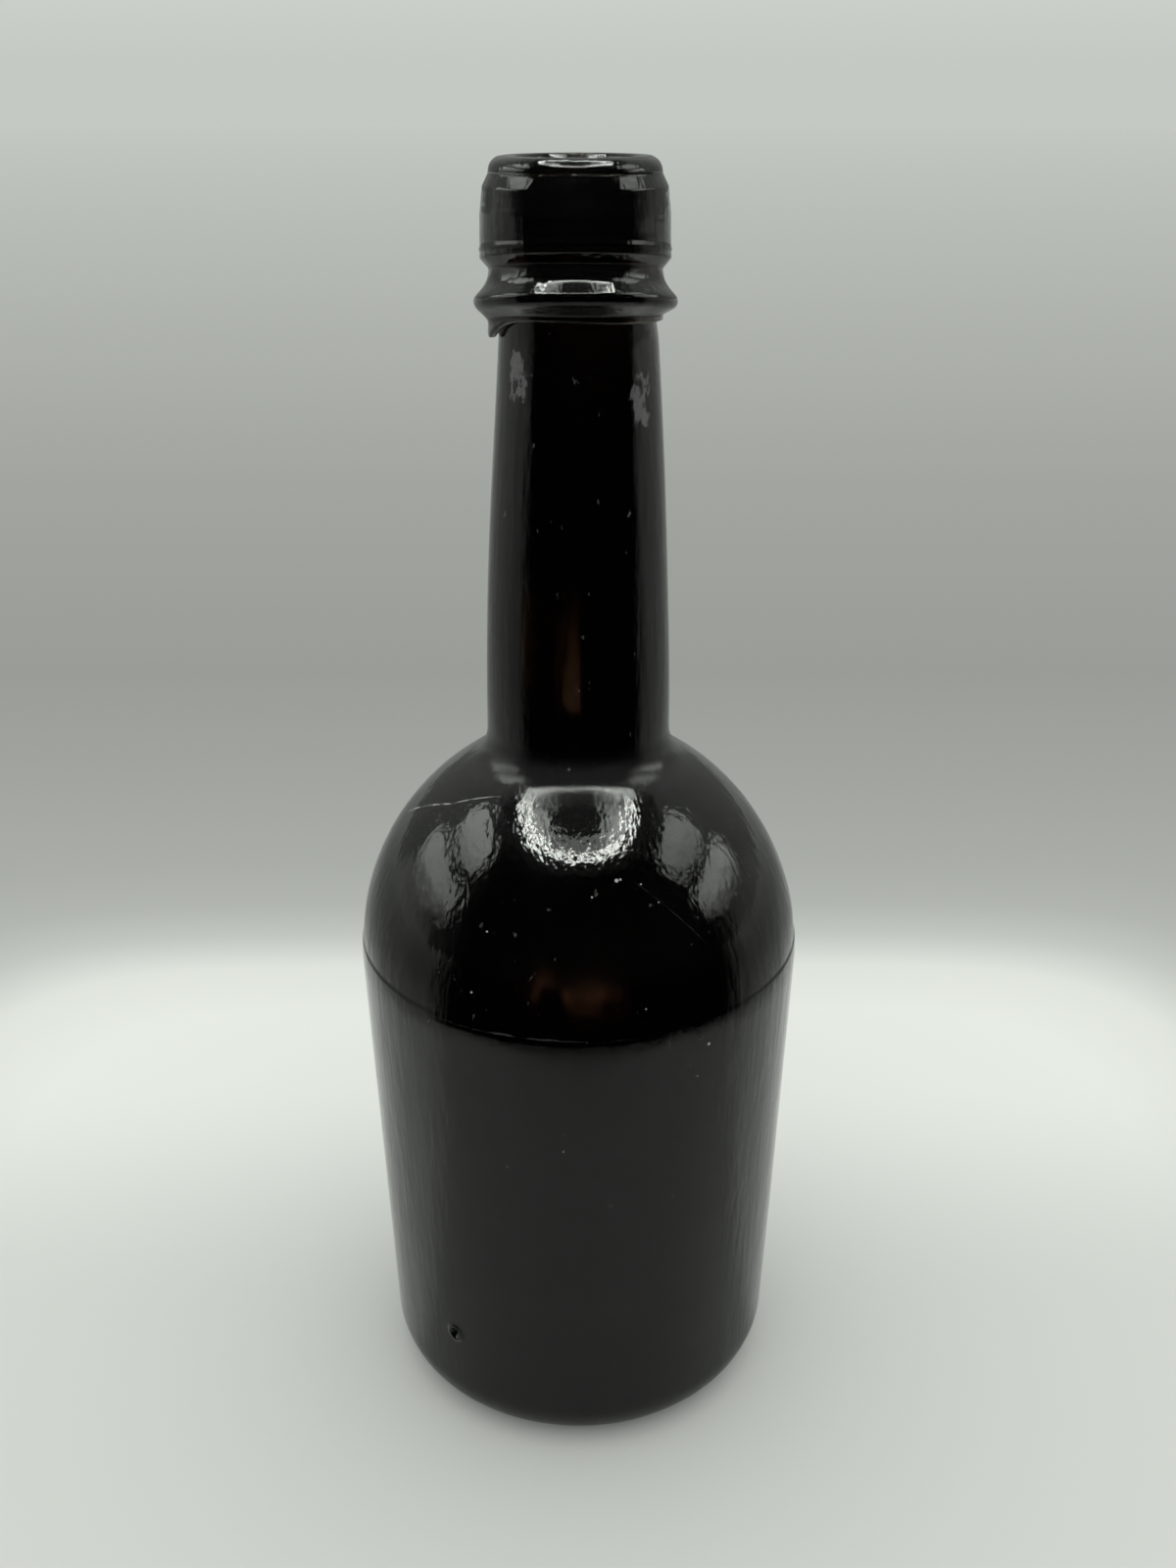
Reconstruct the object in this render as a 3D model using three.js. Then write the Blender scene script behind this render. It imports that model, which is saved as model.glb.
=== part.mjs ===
// A squat old-style bottle of very dark olive-amber glass with an applied, tooled lip.
// Millimetres, +Z up, the bottle's front towards -Y.
// The origin is the centre of the flat surface that the bottle stands on.
// Each profile is a list of Vector2(radius, height), turned about the Z axis.

import * as THREE from 'three';

// Body: a tapering moulded wall with a rounded heel
const FOOT_RADIUS = 39.8;
const BODY_RADIUS = 42.9;
const BODY_HEIGHT = 94.5;
const HEEL_ROUNDING = 10;
const WALL = 4.3;

// Base: a domed push-up inside a flat resting ring
const RESTING_RING_WIDTH = 2.9;
const RESTING_EDGE_ROUNDING = 3;
const PUSH_UP_HEIGHT = 16;
const BASE_THICKNESS = 7;
const INNER_HEEL_ROUNDING = 7;

// Shoulder: one round arc, with the ring-shaped mould seam just above the widest place
const SHOULDER_RADIUS = 47.4;
const SEAM_HEIGHT = 98.5;
const SEAM_PROUD = 0.25;
const SEAM_HALF_WIDTH = 1;

// Neck: swells a little above the shoulder, then tapers up into the applied finish
const NECK_BASE_RADIUS = 17.1;
const NECK_FILLET = 7;
const NECK_SWELL_RADIUS = 17.3;
const NECK_SWELL_RISE = 22;
const NECK_LENGTH = 74.4;
const NECK_TOP_RADIUS = 13.4;
const NECK_END_RADIUS = 12.3;
const NECK_LENGTH_IN_FINISH = 18.3;

// Applied finish: skirt, collar ring, groove, tall band and rounded lip; heights are above its lower edge
const FINISH_HEIGHT = 24.8;
const MOUTH_RADIUS = 9.4;
const SKIRT_RADIUS = 14.5;
const SKIRT_HEIGHT = 1;
const SKIRT_BEVEL = 0.4;
const COLLAR_RADIUS = 17.1;
const COLLAR_ROUNDING = 1.2;
const COLLAR_CENTRE = 2.6;
const COLLAR_UNDERSIDE_DEGREES = -50;
const COLLAR_TOP_DEGREES = 45;
const GROOVE_RADIUS = 14.6;
const GROOVE_CENTRE = 7.9;
const GROOVE_PULL_CENTRE = 6.25;
const BAND_RADIUS = 15.9;
const BAND_BOTTOM = 9.2;
const BAND_BOTTOM_ROUNDING = 0.9;
const BAND_UNDERSIDE_DEGREES = -60;
const BAND_TOP_RADIUS = 15.35;
const LIP_BEVEL_WIDTH = 0.75;
const LIP_BEVEL_HEIGHT = 2;
const LIP_OUTER_ROUNDING = 2.1;
const LIP_INNER_ROUNDING = 2.2;

// The drip and the waves that the hot glass left along the skirt's lower edge
const DRIP_DIRECTION = 180;
const DRIP_HALF_WIDTH = 15;
const DRIP_LENGTH = 3;
const DRIP_THICKNESS = 0.9;
const EDGE_WAVE = 0.35;
const EDGE_WAVES_AROUND = 3;

// The thin gap where the finish laps over the end of the neck
const LAP_GAP = 0.3;

const SEGMENTS_AROUND = 48;
const ARC_SAG = 0.09;
const CURVE_STEPS = 6;
const GLASS_COLOUR = 0x0e0b08;
const GLASS_ROUGHNESS = 0.08;

const point = (r, z) => new THREE.Vector2(r, z);

/** Points on a circular arc between two angles in degrees, close enough that no chord sags past ARC_SAG. */
function arc(centre, radius, from, to) {
  const widestStep = THREE.MathUtils.radToDeg(2 * Math.acos(1 - ARC_SAG / radius));
  const steps = Math.max(2, Math.ceil(Math.abs(to - from) / widestStep));
  const points = [];
  for (let i = 0; i <= steps; i += 1) {
    const angle = THREE.MathUtils.degToRad(from + ((to - from) * i) / steps);
    points.push(point(centre.x + radius * Math.cos(angle), centre.y + radius * Math.sin(angle)));
  }
  return points;
}

/** The angle in degrees of the direction from one point to another. */
function heading(from, to) {
  return THREE.MathUtils.radToDeg(Math.atan2(to.y - from.y, to.x - from.x));
}

/** Height of a circle's centre at radius r, where it touches another circle from outside and above. */
function heightOverCircle(circle, circleRadius, radius, r) {
  const reach = circleRadius + radius;
  return circle.y + Math.sqrt(reach * reach - (r - circle.x) ** 2);
}

// Centres of the round stretches that the outside and the inside share
const ringOuterRadius = FOOT_RADIUS - HEEL_ROUNDING;
const ringInnerRadius = ringOuterRadius - RESTING_RING_WIDTH;
const domeChordRadius = (ringInnerRadius ** 2 + PUSH_UP_HEIGHT ** 2) / (2 * PUSH_UP_HEIGHT);
const pushUpRadius = domeChordRadius - RESTING_EDGE_ROUNDING;
const pushUpCentre = point(0, PUSH_UP_HEIGHT - pushUpRadius);
const restingEdgeCentre = point(ringInnerRadius, RESTING_EDGE_ROUNDING);
const heelCentre = point(ringOuterRadius, HEEL_ROUNDING);
const shoulderCentre = point(BODY_RADIUS - SHOULDER_RADIUS, BODY_HEIGHT);
const filletRadius = NECK_BASE_RADIUS + NECK_FILLET;
const filletHeight = heightOverCircle(shoulderCentre, SHOULDER_RADIUS, NECK_FILLET, filletRadius);
const filletCentre = point(filletRadius, filletHeight);
const filletHeading = heading(shoulderCentre, filletCentre);

const finishBase = filletCentre.y + NECK_LENGTH;
const finishTop = finishBase + FINISH_HEIGHT;
const neckEnd = finishBase + NECK_LENGTH_IN_FINISH;

/** Outer radius of the covered end of the neck, which keeps tapering inside the finish. */
function coveredNeckRadius(z) {
  return THREE.MathUtils.mapLinear(z, finishBase, neckEnd, NECK_TOP_RADIUS, NECK_END_RADIUS);
}

/** The shoulder's arc, raised where the two shoulder moulds met the body mould. */
function shoulderWithSeam() {
  const seamDegrees = THREE.MathUtils.radToDeg(Math.asin((SEAM_HEIGHT - BODY_HEIGHT) / SHOULDER_RADIUS));
  const halfWidthDegrees = THREE.MathUtils.radToDeg(SEAM_HALF_WIDTH / SHOULDER_RADIUS);
  const crestEnd = seamDegrees + halfWidthDegrees / 2;
  const ridge = arc(shoulderCentre, SHOULDER_RADIUS + SEAM_PROUD, seamDegrees, crestEnd);
  return [
    ...arc(shoulderCentre, SHOULDER_RADIUS, 0, seamDegrees - halfWidthDegrees),
    ...ridge,
    ...arc(shoulderCentre, SHOULDER_RADIUS, seamDegrees + 2 * halfWidthDegrees, filletHeading),
  ];
}

/** Outside of the blown bottle, from the axis under the base up to the covered end of the neck. */
function outsideProfile() {
  const neckFoot = point(NECK_BASE_RADIUS, filletCentre.y);
  const neckSwell = point(NECK_SWELL_RADIUS, filletCentre.y + NECK_SWELL_RISE);
  const neckTop = point(NECK_TOP_RADIUS, finishBase);
  const neck = new THREE.QuadraticBezierCurve(neckFoot, neckSwell, neckTop);
  const pushUpEdge = heading(pushUpCentre, restingEdgeCentre);
  return [
    ...arc(pushUpCentre, pushUpRadius, 90, pushUpEdge),
    ...arc(restingEdgeCentre, RESTING_EDGE_ROUNDING, 180 + pushUpEdge, 270).slice(1),
    ...arc(heelCentre, HEEL_ROUNDING, -90, 0),
    ...shoulderWithSeam(),
    ...arc(filletCentre, NECK_FILLET, 180 + filletHeading, 180).slice(1),
    ...neck.getPoints(CURVE_STEPS).slice(1),
    point(NECK_END_RADIUS, neckEnd),
  ];
}

/** Inside of the blown bottle, from the end of the neck down to the axis on top of the push-up. */
function insideProfile() {
  const domeRadius = pushUpRadius + BASE_THICKNESS;
  const valleyRadius = FOOT_RADIUS - WALL - INNER_HEEL_ROUNDING;
  const valleyHeight = heightOverCircle(pushUpCentre, domeRadius, INNER_HEEL_ROUNDING, valleyRadius);
  const valleyCentre = point(valleyRadius, valleyHeight);
  const valleyHeading = heading(pushUpCentre, valleyCentre);
  return [
    point(MOUTH_RADIUS, neckEnd),
    ...arc(filletCentre, NECK_FILLET + WALL, 180, 180 + filletHeading),
    ...arc(shoulderCentre, SHOULDER_RADIUS - WALL, filletHeading, 0).slice(1),
    ...arc(valleyCentre, INNER_HEEL_ROUNDING, 0, valleyHeading - 180),
    ...arc(pushUpCentre, domeRadius, valleyHeading, 90).slice(1),
  ];
}

/** Closed section of the applied finish, up the outside and down the mouth and the lap over the neck. */
function finishProfile() {
  const collarCentre = point(COLLAR_RADIUS - COLLAR_ROUNDING, finishBase + COLLAR_CENTRE);
  const collar = arc(collarCentre, COLLAR_ROUNDING, COLLAR_UNDERSIDE_DEGREES, COLLAR_TOP_DEGREES);
  const groove = point(GROOVE_RADIUS, finishBase + GROOVE_CENTRE);
  const flankPull = point(GROOVE_RADIUS, finishBase + GROOVE_PULL_CENTRE);
  const flank = new THREE.QuadraticBezierCurve(collar.at(-1), flankPull, groove);
  const bandBottomCentre = point(
    BAND_RADIUS - BAND_BOTTOM_ROUNDING,
    finishBase + BAND_BOTTOM + BAND_BOTTOM_ROUNDING,
  );
  const lipOuterCentre = point(
    BAND_TOP_RADIUS - LIP_BEVEL_WIDTH - LIP_OUTER_ROUNDING,
    finishTop - LIP_OUTER_ROUNDING,
  );
  const lipInnerCentre = point(MOUTH_RADIUS + LIP_INNER_ROUNDING, finishTop - LIP_INNER_ROUNDING);
  return [
    point(coveredNeckRadius(finishBase) + LAP_GAP, finishBase),
    point(SKIRT_RADIUS - SKIRT_BEVEL, finishBase),
    point(SKIRT_RADIUS, finishBase + SKIRT_BEVEL),
    point(SKIRT_RADIUS, finishBase + SKIRT_HEIGHT),
    ...collar,
    ...flank.getPoints(CURVE_STEPS).slice(1),
    ...arc(bandBottomCentre, BAND_BOTTOM_ROUNDING, BAND_UNDERSIDE_DEGREES, 0),
    point(BAND_TOP_RADIUS, lipOuterCentre.y - LIP_BEVEL_HEIGHT),
    ...arc(lipOuterCentre, LIP_OUTER_ROUNDING, 0, 90),
    ...arc(lipInnerCentre, LIP_INNER_ROUNDING, 90, 180),
    point(MOUTH_RADIUS, neckEnd + LAP_GAP),
    point(coveredNeckRadius(neckEnd) + LAP_GAP, neckEnd + LAP_GAP),
    point(coveredNeckRadius(finishBase + COLLAR_CENTRE) + LAP_GAP, finishBase + COLLAR_CENTRE),
    point(coveredNeckRadius(finishBase) + LAP_GAP, finishBase),
  ];
}

/** Turns a profile about the Z axis. */
function turned(profile) {
  const geometry = new THREE.LatheGeometry(profile, SEGMENTS_AROUND);
  geometry.rotateX(Math.PI / 2);
  return geometry;
}

/** How much the drip shows in a direction, from 0 to 1. */
function dripAt(degrees) {
  const away = THREE.MathUtils.euclideanModulo(degrees - DRIP_DIRECTION + 180, 360) - 180;
  return Math.exp(-((away / DRIP_HALF_WIDTH) ** 2));
}

/** Pulls the skirt's lower edge down into its waves and its drip, still clear of the neck inside it. */
function sagSkirt(geometry) {
  const positions = geometry.getAttribute('position');
  const neckTaper = (NECK_SWELL_RADIUS - NECK_TOP_RADIUS) / (NECK_LENGTH - NECK_SWELL_RISE);
  for (let i = 0; i < positions.count; i += 1) {
    const [x, y, z] = [positions.getX(i), positions.getY(i), positions.getZ(i)];
    const share = THREE.MathUtils.clamp((finishBase + COLLAR_CENTRE - z) / COLLAR_CENTRE, 0, 1) ** 2;
    const radius = Math.hypot(x, y);
    const degrees = THREE.MathUtils.radToDeg(Math.atan2(y, x));
    const wave = EDGE_WAVE * (1 - Math.cos(EDGE_WAVES_AROUND * THREE.MathUtils.degToRad(degrees)));
    const drop = share * (wave + DRIP_LENGTH * dripAt(degrees));
    const lapRadius = coveredNeckRadius(z) + LAP_GAP;
    const outside = radius > lapRadius + LAP_GAP ? 1 : 0;
    const swollen = radius + drop * neckTaper + outside * share * DRIP_THICKNESS * dripAt(degrees);
    positions.setXYZ(i, (x * swollen) / radius, (y * swollen) / radius, z - drop);
  }
  geometry.computeVertexNormals();
  return geometry;
}

/** One named piece of the dark glass. */
function glassPiece(name, geometry) {
  const material = new THREE.MeshStandardMaterial({
    name: `${name}_glass`,
    color: GLASS_COLOUR,
    roughness: GLASS_ROUGHNESS,
    metalness: 0,
  });
  const mesh = new THREE.Mesh(geometry, material);
  mesh.name = name;
  return mesh;
}

const bottle = new THREE.Group();
bottle.name = 'glass_bottle';
bottle.add(glassPiece('blown_bottle', turned([...outsideProfile(), ...insideProfile()])));
bottle.add(glassPiece('applied_finish', sagSkirt(turned(finishProfile()))));

export default bottle;
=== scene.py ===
"""A squat old-style bottle of very dark olive-amber glass with an applied, tooled lip, in a plain studio.

Metres, +Z up, the bottle's front towards -Y. Its axis is the Z axis, and it stands on the floor at the origin.
Each of its two pieces is a profile of radius against height, turned about the axis and then worked by hand.
"""

import logging
import math
from dataclasses import dataclass, field
from enum import Enum

import bmesh
import bpy
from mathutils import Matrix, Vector, noise


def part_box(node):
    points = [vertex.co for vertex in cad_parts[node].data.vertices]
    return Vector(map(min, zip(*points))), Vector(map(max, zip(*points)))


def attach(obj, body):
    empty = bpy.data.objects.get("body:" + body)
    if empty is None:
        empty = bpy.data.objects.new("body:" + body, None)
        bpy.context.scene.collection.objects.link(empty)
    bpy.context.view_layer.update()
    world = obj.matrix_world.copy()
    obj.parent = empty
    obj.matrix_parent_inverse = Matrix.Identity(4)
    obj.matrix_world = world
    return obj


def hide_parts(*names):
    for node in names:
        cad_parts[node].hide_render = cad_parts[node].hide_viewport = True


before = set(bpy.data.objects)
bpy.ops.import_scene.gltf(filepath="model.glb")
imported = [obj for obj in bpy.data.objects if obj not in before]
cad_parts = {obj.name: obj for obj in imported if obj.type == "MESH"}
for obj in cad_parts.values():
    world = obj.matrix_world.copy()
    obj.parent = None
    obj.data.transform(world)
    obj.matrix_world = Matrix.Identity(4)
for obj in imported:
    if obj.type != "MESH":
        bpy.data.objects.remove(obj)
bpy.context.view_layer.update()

LOG = logging.getLogger("glass_bottle")

MM = 0.001
BODY = "root"
SEGMENTS_AROUND = 256
MERGE_DISTANCE = 0.001 * MM
LONGEST_TURN = math.radians(9)
UP = Vector((0, 0, 1))
Socket = bpy.types.NodeSocket
Number = Socket | float
Triple = Socket | tuple[float, ...]


def polar(centre: Vector, radius: float, degrees: float) -> Vector:
    """A point on a circle in the plane of radius and height.

    Args:
        centre: the circle's centre.
        radius: the circle's radius.
        degrees: the direction from the centre, 0 away from the axis and 90 up.

    Returns:
        The point.
    """
    angle = math.radians(degrees)
    return centre + radius * Vector((math.cos(angle), 0, math.sin(angle)))


def heading(start: Vector, end: Vector) -> float:
    """The direction in degrees from one point of a profile to another."""
    return math.degrees(math.atan2(end.z - start.z, end.x - start.x))


def resting_height(circle: Vector, circle_radius: float, radius: float, distance: float) -> float:
    """Height of a circle that rests on the outside of another one.

    Args:
        circle: centre of the circle below.
        circle_radius: its radius.
        radius: radius of the circle that rests on it.
        distance: how far the resting circle's centre is from the axis.

    Returns:
        The height of the resting circle's centre.
    """
    reach = circle_radius + radius
    return circle.z + math.sqrt(reach**2 - (distance - circle.x) ** 2)


def smooth_bump(offset: float, half_width: float) -> float:
    """A bell from 1 at no offset to nearly 0 at twice the half width."""
    return math.exp(-((offset / half_width) ** 2))


def smooth_step(value: float, low: float, high: float) -> float:
    """A soft rise from 0 at low to 1 at high."""
    share = min(1.0, max(0.0, (value - low) / (high - low)))
    return share * share * (3 - 2 * share)


class Skin(Enum):
    """Which side of the glass wall a vertex of a turned piece belongs to."""

    OUTSIDE = 0
    INSIDE = 1


@dataclass(frozen=True)
class Corner:
    """A corner of a profile, and how it is rounded."""

    radius: float
    height: float
    rounding: float = 0.0

    def at(self) -> Vector:
        """The corner as a point."""
        return Vector((self.radius, 0, self.height))


@dataclass
class Outline:
    """A profile of radius against height, drawn in order, as points in the XZ plane."""

    grain: float
    points: list[Vector] = field(default_factory=list)

    def line(self, end: Vector) -> None:
        """Draws straight on to a point, in steps no longer than the grain.

        Args:
            end: the point.
        """
        start = self.points[-1]
        steps = max(1, math.ceil((end - start).length / self.grain))
        self.points += [start.lerp(end, step / steps) for step in range(1, steps + 1)]

    def arc(self, centre: Vector, radius: float, start: float, end: float) -> None:
        """Draws a circular arc.

        Args:
            centre: the arc's centre.
            radius: the arc's radius.
            start: direction of its first point from the centre, in degrees.
            end: direction of its last point.
        """
        first = polar(centre, radius, start)
        if self.points and (first - self.points[-1]).length > MERGE_DISTANCE:
            self.line(first)
        turn = math.radians(abs(end - start))
        steps = max(math.ceil(turn * radius / self.grain), math.ceil(turn / LONGEST_TURN), 1)
        new = [polar(centre, radius, start + (end - start) * step / steps) for step in range(steps + 1)]
        self.points += new[1:] if self.points else new

    def bend(self, pull: Vector, end: Vector) -> None:
        """Draws a curve that leaves towards one point and arrives at another.

        Args:
            pull: the point that the curve leaves towards, which it doesn't reach.
            end: the point where it arrives.
        """
        start = self.points[-1]
        steps = max(2, math.ceil((end - start).length / self.grain))
        for step in range(1, steps + 1):
            share = step / steps
            self.points.append(start.lerp(pull, share).lerp(pull.lerp(end, share), share))

    def rounded(self, corners: list[Corner]) -> None:
        """Draws straight lines through corners, each rounded off by its own radius.

        Args:
            corners: the corners in order. The first and the last are sharp ends.
        """
        self.points.append(corners[0].at()) if not self.points else self.line(corners[0].at())
        for before, corner, after in zip(corners, corners[1:], corners[2:]):
            to_before = (before.at() - corner.at()).normalized()
            to_after = (after.at() - corner.at()).normalized()
            half_angle = to_before.angle(to_after) / 2
            setback = corner.rounding / math.tan(half_angle)
            centre = corner.at() + (to_before + to_after).normalized() * corner.rounding / math.sin(half_angle)
            start = heading(centre, corner.at() + to_before * setback)
            turn = (heading(centre, corner.at() + to_after * setback) - start + 180) % 360 - 180
            self.arc(centre, corner.rounding, start, start + turn)
        self.line(corners[-1].at())


@dataclass(frozen=True)
class Ripple:
    """Slow unevenness that breath and tools leave in hot glass."""

    amount: float
    across: float
    along: float
    seed: float

    def at(self, point: Vector) -> float:
        """How far the surface strays outwards at a point."""
        place = Vector((point.x / self.across, point.y / self.across, point.z / self.along + self.seed))
        return self.amount * noise.noise(place)


def turned(skins: list[Outline], closed: bool) -> bmesh.types.BMesh:
    """Turns profiles that follow on one another about the Z axis.

    Args:
        skins: the profiles, each beginning where the one before ends.
        closed: whether the last point joins the first.

    Returns:
        A closed mesh. Its vertex layer skin holds the number of each vertex's profile.
    """
    made = bmesh.new()
    layer = made.verts.layers.int.new("skin")
    chain = []
    for number, outline in enumerate(skins):
        points = outline.points if number == 0 else outline.points[1:]
        for place in points:
            vertex = made.verts.new(place)
            vertex[layer] = number
            chain.append(vertex)
    if closed:
        made.verts.remove(chain.pop())
    for start, end in zip(chain, chain[1:]):
        made.edges.new((start, end))
    if closed:
        made.edges.new((chain[-1], chain[0]))
    bmesh.ops.spin(
        made,
        geom=made.verts[:] + made.edges[:],
        cent=(0, 0, 0),
        axis=UP,
        dvec=(0, 0, 0),
        angle=math.tau,
        steps=SEGMENTS_AROUND,
        use_merge=True,
    )
    bmesh.ops.remove_doubles(made, verts=made.verts[:], dist=MERGE_DISTANCE)
    bmesh.ops.recalc_face_normals(made, faces=made.faces[:])
    made.normal_update()
    return made


def finished(name: str, made: bmesh.types.BMesh) -> bpy.types.Object:
    """Makes an object of a mesh, smooth all over, at the origin.

    Args:
        name: the object's name.
        made: the mesh, which is freed.

    Returns:
        The object.
    """
    for face in made.faces:
        face.smooth = True
    mesh = bpy.data.meshes.new(name)
    made.to_mesh(mesh)
    made.free()
    thing = bpy.data.objects.new(name, mesh)
    bpy.context.scene.collection.objects.link(thing)
    return thing


class Wiring:
    """Adds nodes to one tree and joins them, so that a finish reads as a recipe."""

    def __init__(self, tree: bpy.types.NodeTree) -> None:
        """Starts with an empty tree."""
        self.tree = tree
        tree.nodes.clear()

    def add(self, kind: str, inputs: dict[str | int, object] | None = None, **settings: object) -> bpy.types.Node:
        """Adds a node.

        Args:
            kind: the node's type, without the words ShaderNode.
            inputs: for each input, by name or number, the socket to join to it or its value.
            settings: the node's own properties.

        Returns:
            The node.
        """
        node = self.tree.nodes.new(f"ShaderNode{kind}")
        for key, value in settings.items():
            setattr(node, key, value)
        for key, value in (inputs or {}).items():
            if isinstance(value, Socket):
                self.tree.links.new(value, node.inputs[key])
            else:
                node.inputs[key].default_value = value
        return node

    def math(self, operation: str, first: Number, second: Number = 0.0) -> Socket:
        """The result of arithmetic on two sockets or numbers."""
        return self.add("Math", {0: first, 1: second}, operation=operation).outputs[0]

    def vector(self, operation: str, first: Triple, second: Triple = (0, 0, 0)) -> Socket:
        """The result of arithmetic on two vectors."""
        node = self.add("VectorMath", {0: first, 1: second}, operation=operation)
        return node.outputs["Value" if operation in ("LENGTH", "DOT_PRODUCT", "DISTANCE") else "Vector"]

    def noise(self, place: Socket, scale: float, detail: float = 2.0, roughness: float = 0.5) -> Socket:
        """Smooth noise between 0 and 1."""
        inputs = {"Vector": place, "Scale": scale, "Detail": detail, "Roughness": roughness}
        return self.add("TexNoise", inputs).outputs[0]

    def azimuth(self, place: Socket) -> Socket:
        """Works out an azimuth in degrees, 0 towards the camera's side and 90 to its right.

        Args:
            place: a position or a direction.

        Returns:
            The socket that gives the azimuth.
        """
        parts = self.add("SeparateXYZ", {0: place}).outputs
        turn = self.math("ARCTAN2", parts["X"], self.math("MULTIPLY", parts["Y"], -1.0))
        return self.math("MULTIPLY", turn, math.degrees(1))

    def rise(self, value: Number, low: float, high: float, start: Number = 0.0, end: Number = 1.0) -> Socket:
        """A soft rise from start, where value is low or less, to end, where it is high or more."""
        inputs = {"Value": value, "From Min": low, "From Max": high, "To Min": start, "To Max": end}
        return self.add("MapRange", inputs, interpolation_type="SMOOTHSTEP").outputs[0]

    def blend(self, share: Number, first: Number, second: Number) -> Socket:
        """A number between two others."""
        return self.add("Mix", {0: share, 2: first, 3: second}, data_type="FLOAT").outputs[0]

    def blend_colour(self, share: Number, first: Triple, second: Triple) -> Socket:
        """A colour between two others."""
        return self.add("Mix", {0: share, 6: first, 7: second}, data_type="RGBA").outputs[2]


@dataclass(frozen=True)
class Scratch:
    """A pale line worn into the glass, part of a circle about the shoulder's middle.

    Like the other marks, it is placed in millimetres.
    """

    start: tuple[float, float, float]
    end: tuple[float, float, float]
    half_width: float
    strength: float
    core: float = 0.4
    break_scale: float = 520.0
    breaks: tuple[float, float] = (0.38, 0.55)
    unbroken: float = 0.15
    ends: tuple[float, float] = (0.85, 1.1)

    def at(self, wiring: Wiring, from_middle: Socket, middle: Vector) -> Socket:
        """How pale the scratch makes the glass.

        Args:
            wiring: the material's nodes.
            from_middle: the position, measured from the middle.
            middle: the middle, on the axis inside the shoulder.

        Returns:
            The socket that gives the paleness.
        """
        start, end = (Vector(place) * MM - middle for place in (self.start, self.end))
        across = start.cross(end).normalized()
        off = wiring.math("ABSOLUTE", wiring.vector("DOT_PRODUCT", from_middle, tuple(across)))
        line = wiring.rise(off, self.half_width * self.core, self.half_width, self.strength, 0)
        grain = wiring.noise(from_middle, self.break_scale, 2, 0.6)
        line = wiring.math("MULTIPLY", line, wiring.rise(grain, *self.breaks, self.unbroken, 1))
        reach = (end - start).length / 2
        along = wiring.vector("DISTANCE", from_middle, tuple((start + end) / 2))
        ends = (reach * share for share in self.ends)
        return wiring.math("MULTIPLY", line, wiring.rise(along, *ends, 1, 0))


@dataclass(frozen=True)
class Fleck:
    """A pale chip or a stuck grain, the same size through and through, so it also shows straight opposite."""

    place: tuple[float, float, float]
    radius: float
    strength: float = 0.36
    edge: tuple[float, float] = (0.5, 0.9)

    def at(self, wiring: Wiring, from_middle: Socket, middle: Vector) -> Socket:
        """How pale the fleck makes the glass.

        Args:
            wiring: the material's nodes.
            from_middle: the position, measured from the middle.
            middle: the middle, on the axis inside the shoulder.

        Returns:
            The socket that gives the paleness.
        """
        towards = (Vector(self.place) * MM - middle).normalized()
        off = wiring.vector("LENGTH", wiring.vector("CROSS_PRODUCT", from_middle, tuple(towards)))
        edge = (self.radius * share for share in self.edge)
        return wiring.rise(off, *edge, self.strength, 0)


@dataclass(frozen=True)
class PaintedHighlightPatch:
    """A ragged patch, taller than wide, painted pale on the glass as a highlight."""

    place: tuple[float, float, float]
    radius: float
    height: float
    strength: float
    core: float = 0.35
    squash: float = 0.5
    ragged_scale: float = 620.0
    filled: float = 0.3
    edge: tuple[float, float] = (0.68, 0.78)

    def at(self, wiring: Wiring, from_middle: Socket, middle: Vector) -> Socket:
        """How pale the painted highlight makes the glass.

        Args:
            wiring: the material's nodes.
            from_middle: the position, measured from the middle.
            middle: the middle, on the axis inside the shoulder.

        Returns:
            The socket that gives the paleness.
        """
        away = wiring.vector("SUBTRACT", from_middle, tuple(Vector(self.place) * MM - middle))
        squeezed = wiring.vector("MULTIPLY", away, (1, 1, self.radius / self.height))
        off = wiring.vector("LENGTH", squeezed)
        # Painted highlight: a ragged pale patch, not wear.
        inside = wiring.rise(off, self.radius * self.core, self.radius, 1, 0)
        stretched = wiring.vector("MULTIPLY", from_middle, (1, 1, self.squash))
        ragged = wiring.noise(stretched, self.ragged_scale, 3, 0.6)
        share = wiring.math("ADD", wiring.math("MULTIPLY", inside, self.filled), ragged)
        return wiring.rise(share, *self.edge, 0, self.strength)


Mark = Scratch | Fleck | PaintedHighlightPatch


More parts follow.
